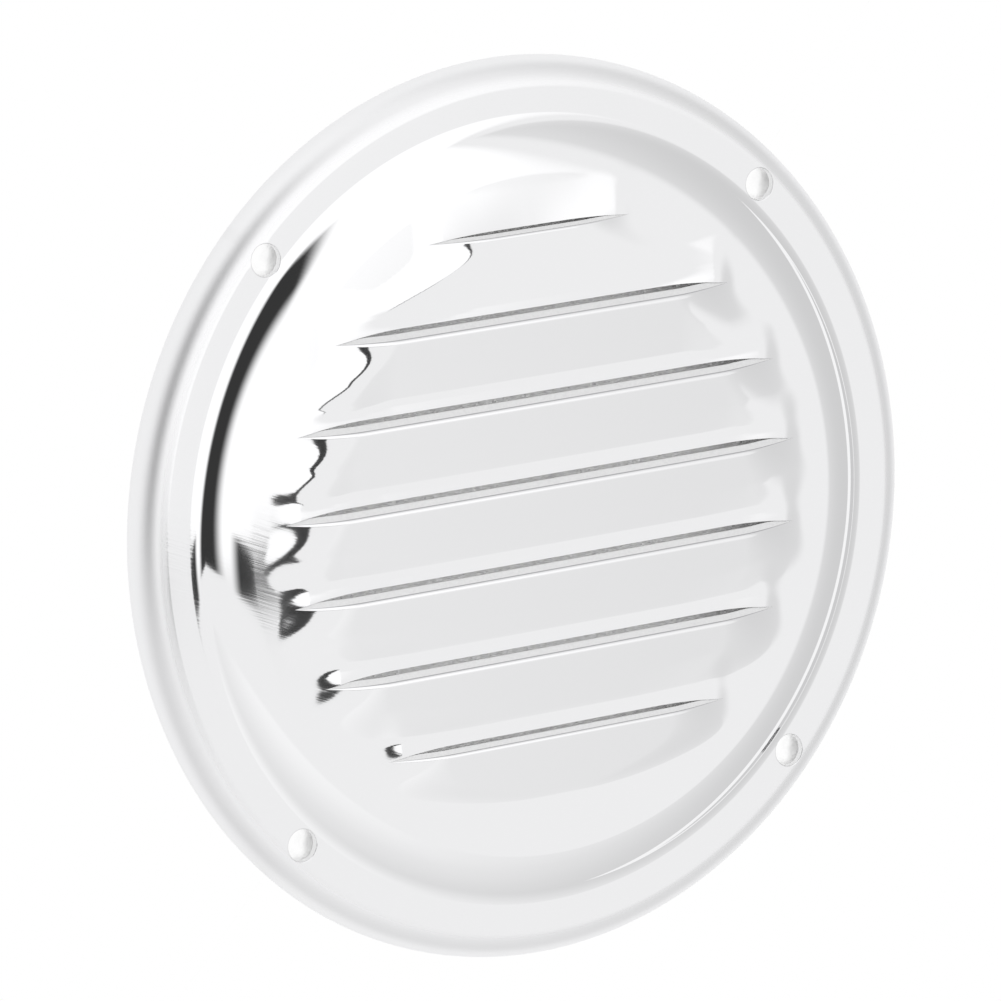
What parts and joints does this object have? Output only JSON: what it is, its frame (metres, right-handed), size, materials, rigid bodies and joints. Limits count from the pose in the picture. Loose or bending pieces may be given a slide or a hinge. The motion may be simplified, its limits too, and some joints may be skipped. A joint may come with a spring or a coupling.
{
  "type": "round louvred vent cover",
  "caption": "Round louvred vent cover pressed from bright steel sheet: raised panel with parallel slatted slits, flat screw flange and turned-down rim, covers a wall or deck air opening.",
  "frame": {"origin": "centre of the cover in the plane its rim rests on", "axes": "+Z out of the front face, +X along the louvres, +Y across them with every louvre mouth on its +Y side"},
  "size_m": [0.127, 0.127, 0.0086],
  "materials": {
    "bright_steel": "bright polished stainless sheet"
  },
  "bodies": {
    "root": {"vent_cover": "bright_steel"}
  },
  "joints": []
}
